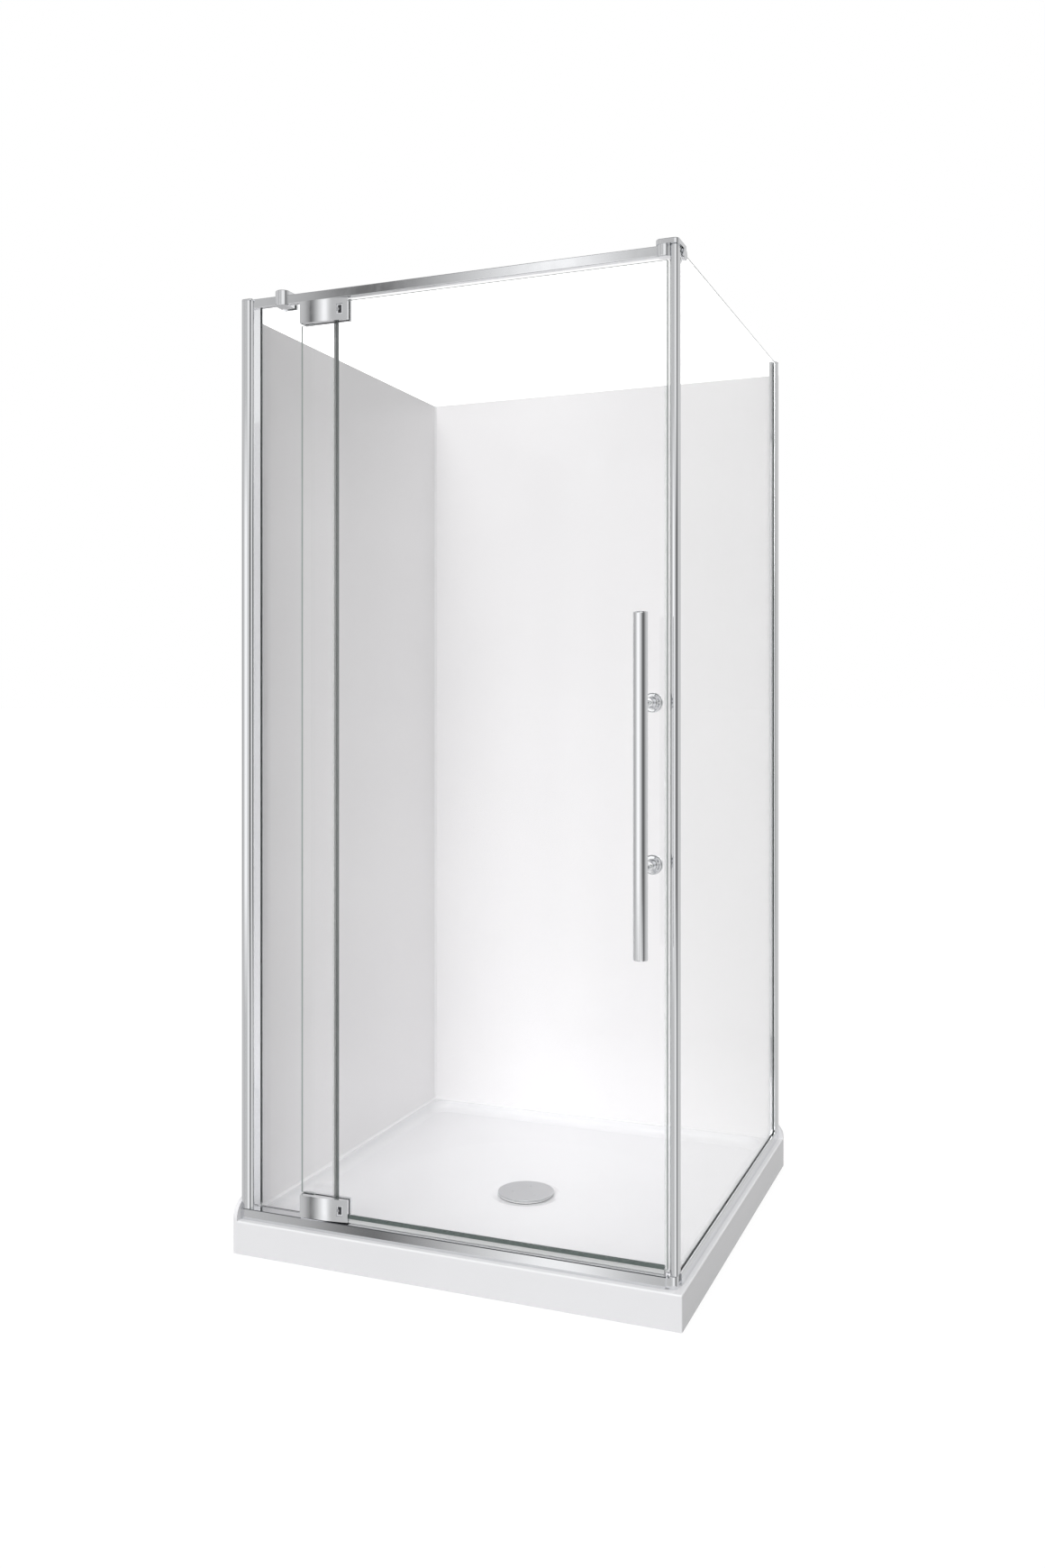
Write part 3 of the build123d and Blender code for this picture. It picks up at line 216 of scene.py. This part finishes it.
def float_glass():
    """Toughened float glass: clear polished faces with the faintest roller wave."""
    material, tree, shader = finish("clear_float_glass", "#FFFFFF", 0.0, IOR=1.52, Transmission_Weight=1.0)
    place = add(tree, "ShaderNodeTexCoord").outputs["Object"]
    wave = add(tree, "ShaderNodeTexNoise", {"Vector": place, "Scale": per_metre(170.0), "Detail": 1.0})
    relief = add(tree, "ShaderNodeBump", {"Height": wave.outputs["Fac"], "Distance": 0.004 * MM,
                                          "Strength": 1.0})
    tree.links.new(relief.outputs["Normal"], shader.inputs["Normal"])
    path = add(tree, "ShaderNodeLightPath")
    lets_light = add(tree, "ShaderNodeMath", {0: path.outputs["Is Shadow Ray"],
                                              1: path.outputs["Is Diffuse Ray"]}, operation="MAXIMUM")
    clear = add(tree, "ShaderNodeBsdfTransparent", {"Color": linear("#FDFDFD")})
    both = add(tree, "ShaderNodeMixShader", {0: lets_light.outputs["Value"], 1: shader.outputs["BSDF"],
                                             2: clear.outputs["BSDF"]})
    tree.links.new(both.outputs["Shader"], tree.nodes["Material Output"].inputs["Surface"])
    return material


def ground_edge(name, dark, pale):
    """The pane's ground and polished edge, where the eye meets the grey green of the glass's depth."""
    material, tree, shader = finish(name, pale, 0.3, IOR=1.52, Coat_Weight=0.5)
    place = add(tree, "ShaderNodeTexCoord").outputs["Object"]
    grit = add(tree, "ShaderNodeTexNoise", {"Vector": place, "Scale": per_metre(3.0), "Detail": 3.0})
    depth = add(tree, "ShaderNodeMix", {0: grit.outputs["Fac"], 6: linear(dark), 7: linear(pale)},
                data_type="RGBA")
    relief = add(tree, "ShaderNodeBump", {"Height": grit.outputs["Fac"], "Distance": 0.02 * MM,
                                          "Strength": 1.0})
    tree.links.new(depth.outputs[2], shader.inputs["Base Color"])
    tree.links.new(relief.outputs["Normal"], shader.inputs["Normal"])
    return material


def clear_seal():
    """Extruded clear polycarbonate and soft PVC seal: glassy and a little milky, its gloss drifting over it.
    """
    material, tree, shader = finish("clear_extruded_seal", "#DCE3E0", 0.15, IOR=1.5, Alpha=0.07)
    place = add(tree, "ShaderNodeTexCoord").outputs["Object"]
    milk = add(tree, "ShaderNodeTexNoise", {"Vector": place, "Scale": per_metre(14.0), "Detail": 2.0})
    gloss = add(tree, "ShaderNodeMapRange", {"Value": milk.outputs["Fac"], "To Min": 0.1, "To Max": 0.3})
    tree.links.new(gloss.outputs["Result"], shader.inputs["Roughness"])
    return material


def smoke_seal(name, axis, body_start, lip_cover):
    """Co-extruded seal: a grey green body past body_start (mm) on an axis, and a pale soft lip."""
    material, tree, shader = finish(name, "#66716E", 0.2, IOR=1.5)
    place = add(tree, "ShaderNodeTexCoord").outputs["Object"]
    parts = add(tree, "ShaderNodeSeparateXYZ", {"Vector": place})
    body = add(tree, "ShaderNodeMath", {0: parts.outputs[axis], 1: body_start * MM},
               operation="GREATER_THAN")
    streak = add(tree, "ShaderNodeTexNoise", {"Vector": place, "Scale": per_metre(9.0), "Detail": 2.0})
    smoke = add(tree, "ShaderNodeMix", {0: streak.outputs["Fac"], 6: linear("#56615E"),
                                        7: linear("#6D7875")}, data_type="RGBA")
    tint = add(tree, "ShaderNodeMix", {0: body.outputs["Value"], 6: linear("#F3F4F4"), 7: smoke.outputs[2]},
               data_type="RGBA")
    cover = add(tree, "ShaderNodeMapRange", {"Value": body.outputs["Value"], "To Min": lip_cover,
                                             "To Max": 0.82})
    tree.links.new(tint.outputs[2], shader.inputs["Base Color"])
    tree.links.new(cover.outputs["Result"], shader.inputs["Alpha"])
    return material


def brushed_steel():
    """Stainless screws: bright and slightly dulled by their forming."""
    return drawn_metal("stainless_screw_steel", "#C9CACC", 0.24, "Y", line_mm=0.8)


def dress_nodes(chrome, drawn, clear_glass):
    """Every node of the frame gets its finish, by slot and by the way it was drawn."""
    by_slot = {
        "tray_acrylic": moulded("gloss_acrylic_tray", "#F0F0F2", 0.16, 7.0, 0.012, IOR=1.49),
        "liner_acrylic": moulded("gloss_acrylic_liner", "#F6F5F6", 0.1, 12.0, 0.01, IOR=1.49),
        "foam": moulded("closed_cell_foam", "#E4E2DC", 0.9, 2.5, 0.3, tone=0.12),
        "sealant": moulded("white_silicone", "#F4F4F5", 0.35, 5.0, 0.05, IOR=1.43),
        "chrome": chrome,
        "satin_metal": spun_satin(),
        "steel": brushed_steel(),
        "clear_pvc": clear_seal(),
        "glass": clear_glass,
        "magnet": moulded("plastic_bonded_magnet", "#6F7275", 0.6, 1.5, 0.02, tone=0.1),
        "nylon": moulded("white_nylon", "#E8E6E0", 0.45, 2.0, 0.02),
        "waste_plastic": moulded("white_polypropylene", "#E9EAEA", 0.4, 2.5, 0.02),
        "rubber": moulded("black_rubber_washer", "#26272A", 0.7, 1.2, 0.03, tone=0.2),
    }
    by_name = {"infill_edge_seal": smoke_seal("smoke_grey_edge_seal", "Y", SEAL_BODY_FRONT, 0.1),
               "door_bottom_seal": smoke_seal("coextruded_door_foot_seal", "Z", SEAL_BODY_FOOT, 0.5)}
    along = {"front_sill": "X", "infill_shoe": "X", "side_sill": "Y", "front_wall_profile": "Z",
             "front_adjuster_profile": "Z", "rear_wall_channel": "Z", "return_edge_profile": "Z"}
    for name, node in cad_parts.items():
        slot_name = node.data.materials[0].name
        by_name.setdefault(name, drawn[along[name]] if name in along else by_slot[slot_name])
        node.data.materials[0] = by_name[name]


def made(name, bm, material, body, slot, *nodes):
    """The finished piece: its place in its mesh, smooth but for its crisp edges, riding on its body."""
    mesh = bpy.data.meshes.new(name)
    bm.to_mesh(mesh)
    bm.free()
    if "custom_normal" in mesh.attributes:
        mesh.attributes.remove(mesh.attributes["custom_normal"])
    mesh.polygons.foreach_set("use_smooth", [True] * len(mesh.polygons))
    mesh.set_sharp_from_angle(angle=math.radians(CRISP))
    mesh.materials.append(material)
    piece = bpy.data.objects.new(name, mesh)
    bpy.context.scene.collection.objects.link(piece)
    even = piece.modifiers.new("even_shading", "WEIGHTED_NORMAL")
    even.keep_sharp = True
    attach(piece, body)
    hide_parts(*nodes)
    return piece


def lathe(bm, outline, base, along):
    """Turns an outline of (radius, height) in mm about an axis that starts at the base point."""
    spots = [bm.verts.new((r * MM, 0, h * MM)) for r, h in outline]
    lines = [bm.edges.new(pair) for pair in zip(spots, spots[1:])]
    bmesh.ops.spin(bm, geom=spots + lines, cent=(0, 0, 0), axis=(0, 0, 1), angle=math.tau,
                   steps=LATHE_STEPS, use_merge=True)
    turned = [v for v in bm.verts if not v.tag]
    bmesh.ops.remove_doubles(bm, verts=turned, dist=WELD * MM)
    turned = [v for v in bm.verts if not v.tag]
    turn = Vector((0, 0, 1)).rotation_difference(Vector(along)).to_matrix().to_4x4()
    bmesh.ops.transform(bm, matrix=Matrix.Translation(Vector(base) * MM) @ turn, verts=turned)
    for v in turned:
        v.tag = True
    bmesh.ops.recalc_face_normals(bm, faces=bm.faces)


def rounded(radius, height, r, up):
    """Points of a quarter round from the flat end to the side, or back where it points up."""
    steps = [math.radians(a) for a in (0, 22.5, 45, 67.5, 90)]
    points = [(radius - r + r * math.sin(a), height + r - r * math.cos(a)) for a in steps]
    return [(x, 2 * height - z) for x, z in reversed(points)] if up else points


def glass_pane(node, carrier, across, deep_ways, finishes):
    """A pane with clear faces: its edges that look along a deep way are dark, the others pale."""
    bm = bmesh.new()
    bm.from_mesh(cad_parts[node].data)
    bmesh.ops.remove_doubles(bm, verts=bm.verts, dist=WELD * MM)
    bm.normal_update()
    for f in bm.faces:
        if abs(f.normal.dot(Vector(across))) < SQUARE_ON:
            deep = any(f.normal.dot(Vector(way)) > DEEP_EDGE for way in deep_ways)
            f.material_index = 1 if deep else 2
    pane = made(node.replace("glass", "pane"), bm, finishes[0], carrier, "glass", node)
    for edge_finish in finishes[1:]:
        pane.data.materials.append(edge_finish)


def pull_handle(chrome):
    """Round pull handle: tube with capped ends, and two posts that stand on domed roses."""
    low, high = HANDLE_ENDS
    length = high - low
    seam = [(HANDLE_R - depth, HANDLE_CAP + past) for depth, past in HANDLE_SEAM]
    outline = [(0, 0)] + rounded(HANDLE_R, 0, HANDLE_ROUND, False) + seam
    outline += [(r, length - h) for r, h in reversed(seam)]
    outline += rounded(HANDLE_R, length, HANDLE_ROUND, True) + [(0, length)]
    bm = bmesh.new()
    lathe(bm, outline, (*HANDLE_AXIS, low), (0, 0, 1))
    made("pull_handle_tube", bm, chrome, "door", "chrome", "handle_tube", "handle_end_caps")
    rose = [(0, 0), (ROSE_R, 0)] + rounded(ROSE_R, ROSE_THICK, ROSE_ROUND, True)
    neck = [(STEM_R + past, ROSE_THICK + above) for past, above in STEM_FOOT]
    reach = ROSE_BACK - HANDLE_AXIS[1] - HANDLE_R + STEM_BITE
    post = rose + neck + [(STEM_R, reach), (0, reach)]
    bm = bmesh.new()
    for z in POST_HEIGHTS:
        lathe(bm, post, (HANDLE_AXIS[0], ROSE_BACK, z), (0, -1, 0))
    made("pull_handle_posts", bm, chrome, "door", "chrome", "handle_posts")


def sink(bm, faces, width, depth):
    """Insets each face by a width and sinks it by a depth, in mm."""
    bmesh.ops.inset_individual(bm, faces=faces, thickness=width * MM, depth=-depth * MM)


def hinge_block(side, chrome, insert, painted_slot_shade):
    """Hinge block: a softly turned face, a recessed window with its adjuster, whose slot is darkened by
    painted shade, and a tail round the pivot.
    """
    low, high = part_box(f"{side}_hinge_block")
    x0, x1, z0, z1 = low[0], high[0], low[2], high[2]
    front, back = low[1], high[1]
    width = x1 - x0
    window_x = (x1 - (WINDOW_INSET + WINDOW[0]) * MM, x1 - WINDOW_INSET * MM)
    middle = (z0 + z1) / 2
    fixed = [window_x[0], window_x[1], x0 + HINGE_TAIL * MM]
    steps = [x0 + width * i / FACE_COLUMNS for i in range(FACE_COLUMNS + 1)]
    columns = sorted(fixed + [x for x in steps if min(abs(x - edge) for edge in fixed) > COLUMN_GAP * MM
                              and not window_x[0] < x < window_x[1]])
    rows = [z0, middle - WINDOW[1] / 2 * MM, middle + WINDOW[1] / 2 * MM, z1]
    bm = bmesh.new()
    bmesh.ops.create_grid(bm, x_segments=len(columns) - 1, y_segments=len(rows) - 1, size=0.5)
    across = sorted({round(v.co.x, 5) for v in bm.verts})
    up = sorted({round(v.co.y, 5) for v in bm.verts})
    for v in bm.verts:
        x = columns[across.index(round(v.co.x, 5))]
        share = (x - x0) / width
        fall = width * math.radians(FACE_TURN[0] * share + FACE_TURN[1] * share * share / 2)
        v.co = (x, front + FACE_SET_BACK * MM + fall, rows[up.index(round(v.co.y, 5))])
    grown = bmesh.ops.extrude_face_region(bm, geom=bm.faces[:], use_keep_orig=True)["geom"]
    for v in grown:
        if isinstance(v, bmesh.types.BMVert):
            v.co.y = HINGE_PLATE_BACK * MM
    bmesh.ops.recalc_face_normals(bm, faces=bm.faces)
    tail = [f for f in bm.faces if f.normal.y > SQUARE_ON
            and f.calc_center_median().x < x0 + HINGE_TAIL * MM]
    tail_edges = [e for e in bm.edges if any(f in tail for f in e.link_faces)]
    moved = bmesh.ops.extrude_face_region(bm, geom=tail + tail_edges)["geom"]
    bmesh.ops.translate(bm, vec=(0, back - HINGE_PLATE_BACK * MM, 0),
                        verts=[v for v in moved if isinstance(v, bmesh.types.BMVert)])
    window = [f for f in bm.faces if f.normal.y < -SQUARE_ON
              and window_x[0] < f.calc_center_median().x < window_x[1]
              and rows[1] < f.calc_center_median().z < rows[2]]
    sink(bm, window, *WINDOW_RIM)
    sink(bm, window, *WINDOW_WALL)
    for f in window:
        f.material_index = 1
    sink(bm, window, *INSERT_FACE)
    # The slot sunk inside the insert takes the dark colour that paints the shade of its gap
    for f in window:
        f.material_index = 2
    sink(bm, window, *SLOT_WALL)
    bmesh.ops.recalc_face_normals(bm, faces=bm.faces)
    cover = made(f"{side}_hinge_cover", bm, chrome, "door", "chrome", f"{side}_hinge_block",
                 f"{side}_hinge_adjuster")
    cover.data.materials.append(insert)
    cover.data.materials.append(painted_slot_shade)


def front_sill(aluminium):
    """Front sill: a crisp polished bar with a small chamfer along its top and a water groove behind."""
    low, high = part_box("front_sill")
    groove = [(high[1] - inward * MM, high[2] - deep * MM) for inward, deep in SILL_GROOVE]
    section = [(low[1], low[2]), (low[1], high[2] - SILL_CHAMFER * MM), (low[1] + SILL_CHAMFER * MM, high[2]),
               *groove, (high[1] - SILL_EDGE * MM, high[2]), (high[1], high[2] - SILL_EDGE * MM),
               (high[1], low[2])]
    bm = bmesh.new()
    end = bm.faces.new([bm.verts.new((low[0], y, z)) for y, z in section])
    drawn_out = bmesh.ops.extrude_face_region(bm, geom=[end], use_keep_orig=True)["geom"]
    bmesh.ops.translate(bm, vec=(high[0] - low[0], 0, 0),
                        verts=[v for v in drawn_out if isinstance(v, bmesh.types.BMVert)])
    bmesh.ops.recalc_face_normals(bm, faces=bm.faces)
    made("front_sill_bar", bm, aluminium, "root", "bright_aluminium", "front_sill")


def world_light():
    """White all round for the eye and for mirrors, with dark gaps between the light panels."""
    world = bpy.data.worlds.new("studio")
    bpy.context.scene.world = world
    world.use_nodes = True
    tree = world.node_tree
    tree.nodes.clear()
    way = add(tree, "ShaderNodeTexCoord").outputs["Generated"]
    parts = add(tree, "ShaderNodeSeparateXYZ", {"Vector": way})
    ahead = add(tree, "ShaderNodeMath", {0: parts.outputs["Y"], 1: -1.0}, operation="MULTIPLY")
    turn = add(tree, "ShaderNodeMath", {0: parts.outputs["X"], 1: ahead.outputs["Value"]},
               operation="ARCTAN2")
    share = add(tree, "ShaderNodeMapRange", {"Value": turn.outputs["Value"], "From Min": -math.pi,
                                             "From Max": math.pi})
    tilt = add(tree, "ShaderNodeMath", {0: parts.outputs["Z"]}, operation="ABSOLUTE")
    steep = add(tree, "ShaderNodeMapRange", {"Value": tilt.outputs["Value"], "From Min": STEEP_FROM[0],
                                              "From Max": STEEP_FROM[1]})
    ramps = []
    for panels in (LEVEL_PANELS, STEEP_PANELS):
        ramp = add(tree, "ShaderNodeValToRGB", {"Fac": share.outputs["Result"]})
        stops = ramp.color_ramp.elements
        while len(stops) < len(panels):
            stops.new(0.5)
        for stop, (degrees, grey) in zip(stops, panels):
            stop.position = (degrees + 180) / 360
            stop.color = (grey, grey, grey, 1.0)
        ramps.append(ramp.outputs["Color"])
    round_about = add(tree, "ShaderNodeMix", {0: steep.outputs["Result"], 6: ramps[0], 7: ramps[1]},
                      data_type="RGBA")
    high = add(tree, "ShaderNodeMapRange", {"Value": parts.outputs["Z"], "From Min": OVERHEAD_FROM[0],
                                             "From Max": OVERHEAD_FROM[1]})
    mirror = add(tree, "ShaderNodeMix", {0: high.outputs["Result"], 6: round_about.outputs[2],
                                         7: linear(OVERHEAD)}, data_type="RGBA")
    path = add(tree, "ShaderNodeLightPath")
    ambient = add(tree, "ShaderNodeBackground", {"Color": linear("#FFFFFF"), "Strength": AMBIENT})
    white = add(tree, "ShaderNodeBackground", {"Color": linear("#FFFFFF"), "Strength": 1.0})
    panels = add(tree, "ShaderNodeBackground", {"Color": mirror.outputs[2], "Strength": 1.0})
    seen = add(tree, "ShaderNodeMath", {0: path.outputs["Is Camera Ray"],
                                        1: path.outputs["Is Transmission Ray"]}, operation="MAXIMUM")
    unseen = add(tree, "ShaderNodeMixShader", {0: path.outputs["Is Glossy Ray"],
                                               1: ambient.outputs["Background"],
                                               2: panels.outputs["Background"]})
    whole = add(tree, "ShaderNodeMixShader", {0: seen.outputs["Value"], 1: unseen.outputs["Shader"],
                                              2: white.outputs["Background"]})
    out = add(tree, "ShaderNodeOutputWorld", {"Surface": whole.outputs["Shader"]})
    out.is_active_output = True


def soft_lamps():
    """Broad soft panels in front of the enclosure, above it and behind it."""
    for name, (strength, shines_from, spread) in LAMPS.items():
        data = bpy.data.lights.new(name, "SUN")
        data.energy = strength
        data.angle = math.radians(spread)
        lamp = bpy.data.objects.new(name, data)
        lamp.visible_glossy = False
        lamp.rotation_mode = "QUATERNION"
        lamp.rotation_quaternion = Vector(shines_from).to_track_quat("Z", "Y")
        bpy.context.scene.collection.objects.link(lamp)


def floor():
    """A plain pale floor that keeps a faint shadow and runs into the white round it."""
    bm = bmesh.new()
    bmesh.ops.create_grid(bm, x_segments=1, y_segments=1, size=FLOOR_HALF)
    mesh = bpy.data.meshes.new("studio_floor")
    bm.to_mesh(mesh)
    bm.free()
    ground = bpy.data.objects.new("studio_floor", mesh)
    bpy.context.scene.collection.objects.link(ground)
    material = bpy.data.materials.new("pale_floor")
    material.use_nodes = True
    tree = material.node_tree
    tree.nodes.clear()
    path = add(tree, "ShaderNodeLightPath")
    seen = add(tree, "ShaderNodeMath", {0: path.outputs["Is Camera Ray"],
                                        1: path.outputs["Is Transmission Ray"]}, operation="MAXIMUM")
    paint = add(tree, "ShaderNodeBsdfDiffuse", {"Color": linear("#EFEFEF")})
    bounce = add(tree, "ShaderNodeBsdfDiffuse", {"Color": linear("#A6A6A6")})
    white = add(tree, "ShaderNodeEmission", {"Color": linear("#FFFFFF"), "Strength": 1.0})
    faint = add(tree, "ShaderNodeMixShader", {0: FLOOR_SHADOW, 1: white.outputs["Emission"],
                                              2: paint.outputs["BSDF"]})
    glow = add(tree, "ShaderNodeEmission", {"Color": linear("#FFFFFF"), "Strength": FLOOR_GLOW})
    lifted = add(tree, "ShaderNodeAddShader", {0: faint.outputs["Shader"], 1: glow.outputs["Emission"]})
    both = add(tree, "ShaderNodeMixShader", {0: seen.outputs["Value"], 1: bounce.outputs["BSDF"],
                                             2: lifted.outputs["Shader"]})
    add(tree, "ShaderNodeOutputMaterial", {"Surface": both.outputs["Shader"]})
    mesh.materials.append(material)
    ground.visible_glossy = False


def camera():
    """The photograph's own view."""
    data = bpy.data.cameras.new("photo_view")
    data.sensor_width = SENSOR
    data.lens = FOCAL_PIXELS / PHOTO_HEIGHT * SENSOR
    data.shift_y = (HORIZON_ROW - PHOTO_HEIGHT / 2) / PHOTO_HEIGHT
    data.clip_start, data.clip_end = VIEW_DEPTH
    eye = bpy.data.objects.new("photo_view", data)
    eye.location = CAMERA_PLACE
    eye.rotation_euler = (math.radians(90), 0, math.radians(CAMERA_HEADING))
    bpy.context.scene.collection.objects.link(eye)
    bpy.context.scene.camera = eye


chrome = chrome_plate()
drawn = {axis: drawn_metal(f"bright_anodised_aluminium_{axis.lower()}", "#E4E5E7", 0.07, axis)
         for axis in "XYZ"}
clear_glass = float_glass()
deep_edge = ground_edge("deep_green_glass_edge", "#4F5A57", "#65716D")
pale_edge = ground_edge("pale_glass_edge", "#A5AFAB", "#B9C3BF")
dress_nodes(chrome, drawn, clear_glass)
for pane, carrier, across, deep_ways in (("door_glass", "door", (0, 1, 0), [(0, 0, -1)]),
                                         ("infill_glass", "root", (0, 1, 0), [(0, 0, -1), (1, 0, 0)]),
                                         ("return_glass", "root", (1, 0, 0), [(0, 0, -1)])):
    glass_pane(pane, carrier, across, deep_ways, [clear_glass, deep_edge, pale_edge])
pale_insert = moulded("pale_adjuster_insert", "#DADBDD", 0.3, 3.0, 0.02)
# Painted shade: a dark colour that stands for the shadow in the adjuster's slot
painted_slot_shade = moulded("painted_shade_adjuster_slot", "#3C3D41", 0.5, 2.0, 0.02, tone=0.15)
pull_handle(chrome)
for side in ("top", "bottom"):
    hinge_block(side, chrome, pale_insert, painted_slot_shade)
front_sill(drawn["X"])
world_light()
soft_lamps()
floor()
camera()
bpy.context.scene.view_settings.view_transform = "Standard"
